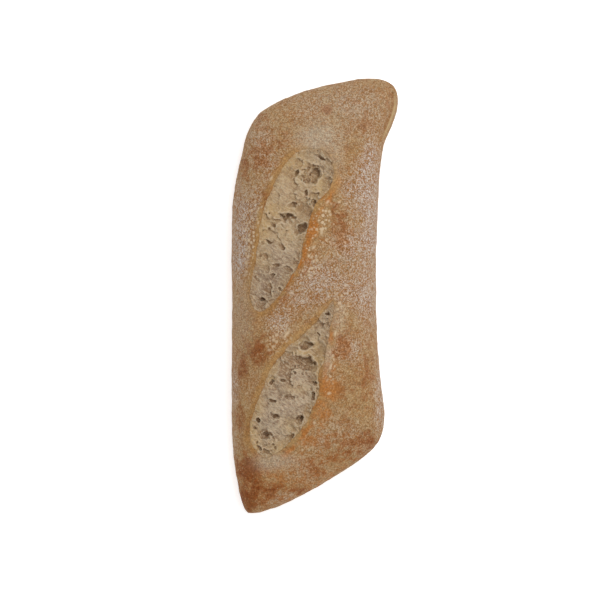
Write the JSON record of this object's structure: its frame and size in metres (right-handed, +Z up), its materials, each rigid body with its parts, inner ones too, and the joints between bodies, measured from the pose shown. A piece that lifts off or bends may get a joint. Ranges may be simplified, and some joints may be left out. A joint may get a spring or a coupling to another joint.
{
  "type": "baguette",
  "caption": "Short rustic baguette with a domed crust, a flat base, slanted ends and slanted open slashes that show an airy crumb.",
  "frame": {"origin": "centre of the bounding box in plan, on the surface that the loaf rests on", "axes": "+Y along the loaf towards the end with the drawn-out right corner, +X across it to the right as seen from above, +Z up through the slashed crust"},
  "size_m": [0.1001, 0.2609, 0.0463],
  "materials": {
    "crust": "matt golden-brown bread crust with flour"
  },
  "bodies": {
    "root": {"loaf": "crust"}
  },
  "joints": []
}
